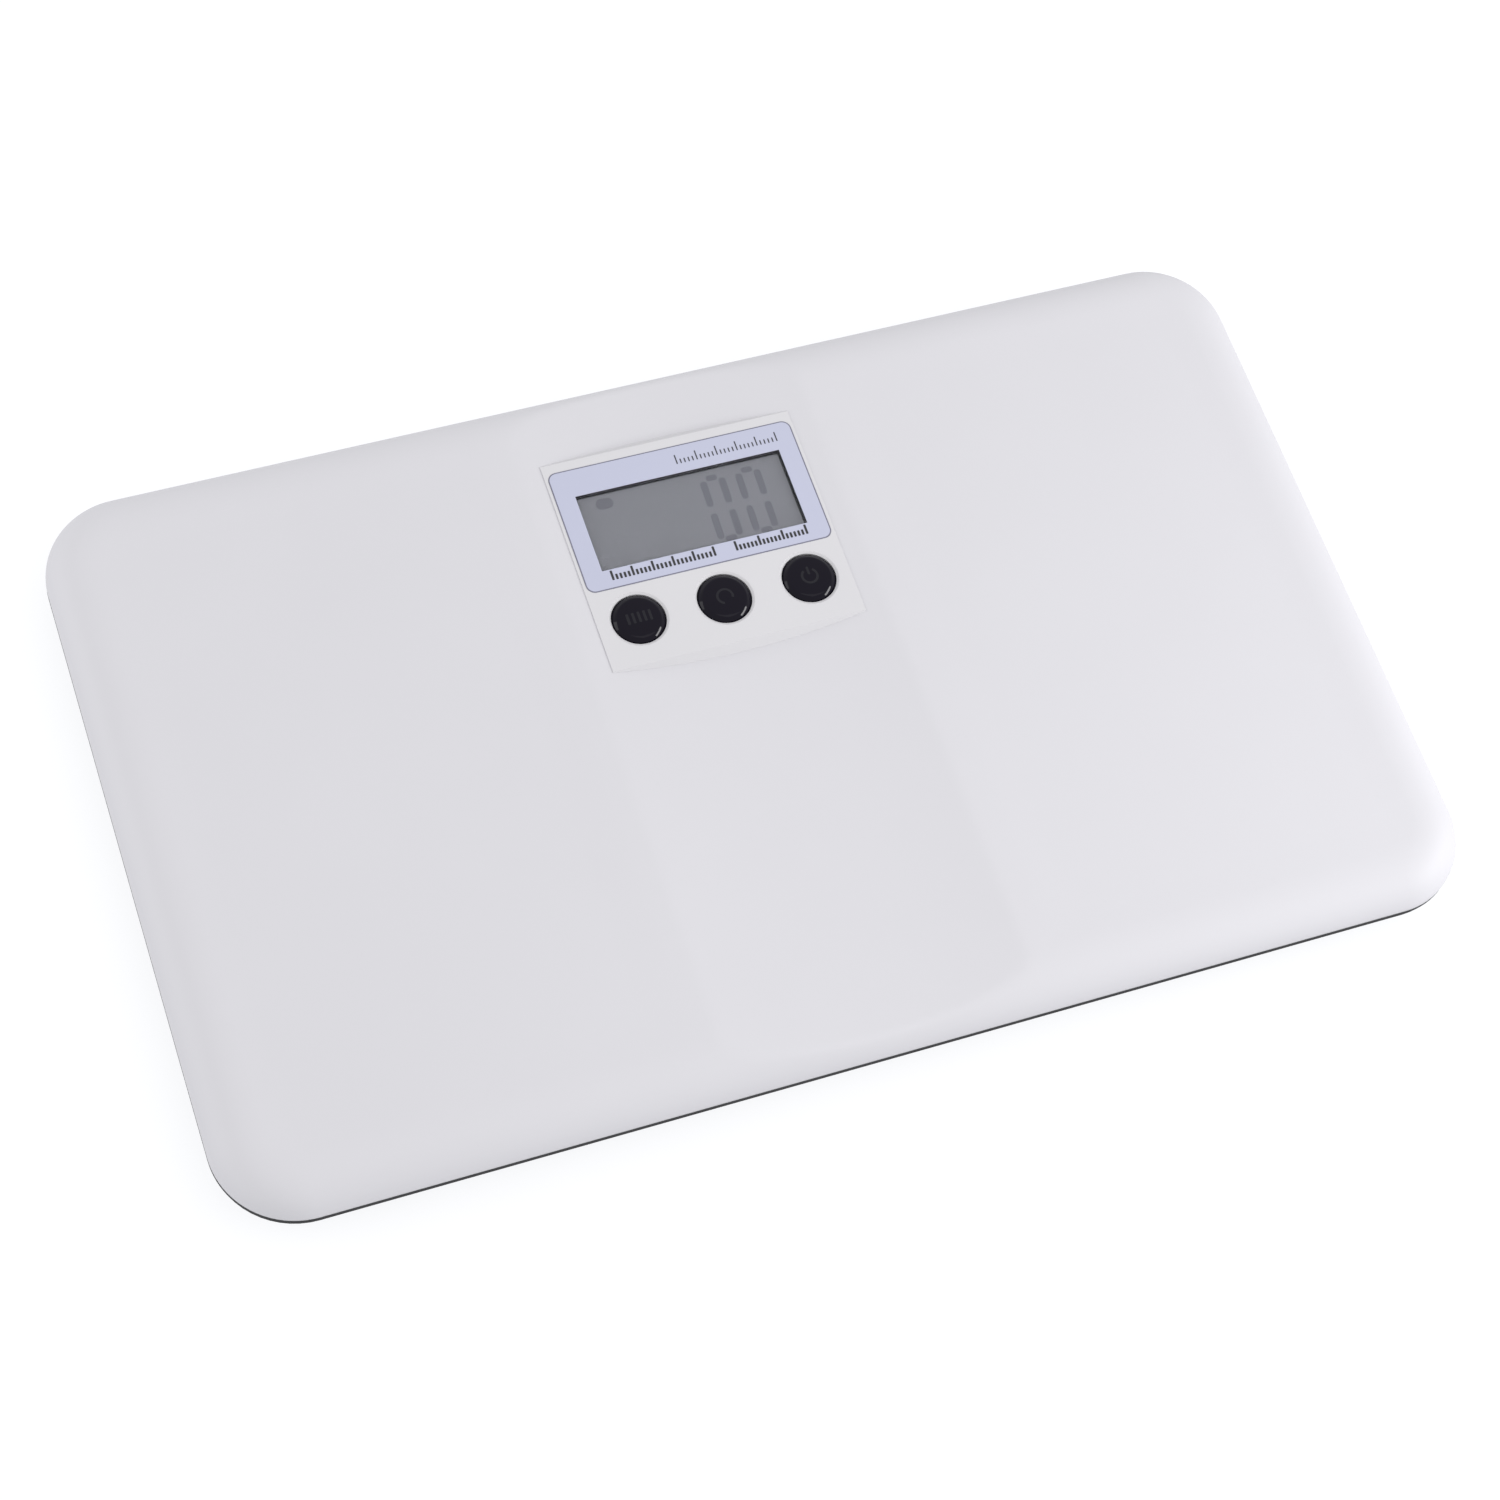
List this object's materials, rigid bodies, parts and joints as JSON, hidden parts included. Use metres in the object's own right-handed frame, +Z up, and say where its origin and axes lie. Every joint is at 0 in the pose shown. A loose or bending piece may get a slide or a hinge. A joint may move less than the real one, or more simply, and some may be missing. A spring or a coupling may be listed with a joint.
{
  "type": "animal weighing scale",
  "caption": "Low rectangular platform scale for small animals, with a dished centre bridge, digital display, push buttons and sprung load-cell feet.",
  "frame": {"origin": "middle of the footprint, on the floor under the rubber feet", "axes": "+X along the wide side, +Y towards the display end, +Z up"},
  "size_m": [0.55, 0.334, 0.0406],
  "materials": {
    "cover_plastic": "satin moulded, very fine grain",
    "bezel_plastic": "satin moulded",
    "label_film": "satin printed film",
    "clear_window": "clear acrylic",
    "lcd_panel": "grey polariser",
    "reflector_film": "matte",
    "black_plastic": "moulded",
    "contact_rubber": "silicone",
    "board_laminate": "solder mask",
    "component_body": "epoxy",
    "screw_steel": "zinc plated",
    "tray_plastic": "textured moulding",
    "spring_steel": "nickel plated",
    "cable_jacket": "PVC",
    "bracket_plastic": "moulded",
    "cell_steel": "stamped",
    "foot_rubber": "soft grip",
    "button_gloss": "high gloss",
    "plunger_plastic": "moulded",
    "battery_shell": "printed foil jacket, plain"
  },
  "bodies": {
    "casing": {"top_cover": "cover_plastic", "display_bezel": "bezel_plastic", "display_overlay": "label_film", "lcd_window": "clear_window", "lcd_glass": "lcd_panel", "lcd_reflector": "reflector_film", "lcd_frame": "black_plastic", "zebra_strip": "contact_rubber", "circuit_board": "board_laminate", "board_parts": "component_body", "switch_housings": "black_plastic", "board_screws": "screw_steel", "base_tray": "tray_plastic", "cover_screws": "screw_steel", "cell_screws": "screw_steel", "cell_bracket_front_left": "bracket_plastic", "load_cell_front_left": "cell_steel", "gauge_cable_front_left": "cable_jacket", "cell_bracket_front_right": "bracket_plastic", "load_cell_front_right": "cell_steel", "gauge_cable_front_right": "cable_jacket", "cell_bracket_back_left": "bracket_plastic", "load_cell_back_left": "cell_steel", "gauge_cable_back_left": "cable_jacket", "cell_bracket_back_right": "bracket_plastic", "load_cell_back_right": "cell_steel", "gauge_cable_back_right": "cable_jacket", "battery_1": "battery_shell", "battery_2": "battery_shell", "battery_3": "battery_shell", "battery_4": "battery_shell", "battery_springs": "spring_steel", "battery_contacts": "spring_steel", "battery_leads": "cable_jacket"},
    "foot_front_left": {"foot_cap_front_left": "tray_plastic", "foot_pad_front_left": "foot_rubber"},
    "foot_front_right": {"foot_cap_front_right": "tray_plastic", "foot_pad_front_right": "foot_rubber"},
    "foot_back_left": {"foot_cap_back_left": "tray_plastic", "foot_pad_back_left": "foot_rubber"},
    "foot_back_right": {"foot_cap_back_right": "tray_plastic", "foot_pad_back_right": "foot_rubber"},
    "button_left": {"button_cap_left": "button_gloss", "switch_plunger_left": "plunger_plastic"},
    "button_middle": {"button_cap_middle": "button_gloss", "switch_plunger_middle": "plunger_plastic"},
    "button_right": {"button_cap_right": "button_gloss", "switch_plunger_right": "plunger_plastic"},
    "battery_door": {"battery_door": "tray_plastic"}
  },
  "joints": [
    {"name": "foot_front_left_press", "type": "slide", "parent": "casing", "child": "foot_front_left", "axis": [0, 0, 1], "range_m": [0, 0.0005], "stiffness_N_per_m": 3000, "springref_m": -0.005, "deforming": ["load_cell_front_left"]},
    {"name": "foot_front_right_press", "type": "slide", "parent": "casing", "child": "foot_front_right", "axis": [0, 0, 1], "range_m": [0, 0.0005], "stiffness_N_per_m": 3000, "springref_m": -0.005, "deforming": ["load_cell_front_right"]},
    {"name": "foot_back_left_press", "type": "slide", "parent": "casing", "child": "foot_back_left", "axis": [0, 0, 1], "range_m": [0, 0.0005], "stiffness_N_per_m": 3000, "springref_m": -0.005, "deforming": ["load_cell_back_left"]},
    {"name": "foot_back_right_press", "type": "slide", "parent": "casing", "child": "foot_back_right", "axis": [0, 0, 1], "range_m": [0, 0.0005], "stiffness_N_per_m": 3000, "springref_m": -0.005, "deforming": ["load_cell_back_right"]},
    {"name": "button_left_press", "type": "slide", "parent": "casing", "child": "button_left", "axis": [0, 0, -1], "range_m": [0, 0.0005], "stiffness_N_per_m": 400, "springref_m": -0.003},
    {"name": "button_middle_press", "type": "slide", "parent": "casing", "child": "button_middle", "axis": [0, 0, -1], "range_m": [0, 0.0005], "stiffness_N_per_m": 400, "springref_m": -0.003},
    {"name": "button_right_press", "type": "slide", "parent": "casing", "child": "button_right", "axis": [0, 0, -1], "range_m": [0, 0.0005], "stiffness_N_per_m": 400, "springref_m": -0.003},
    {"name": "battery_door_slide", "type": "slide", "parent": "casing", "child": "battery_door", "axis": [0, -1, 0], "range_m": [0, 0.03]}
  ]
}
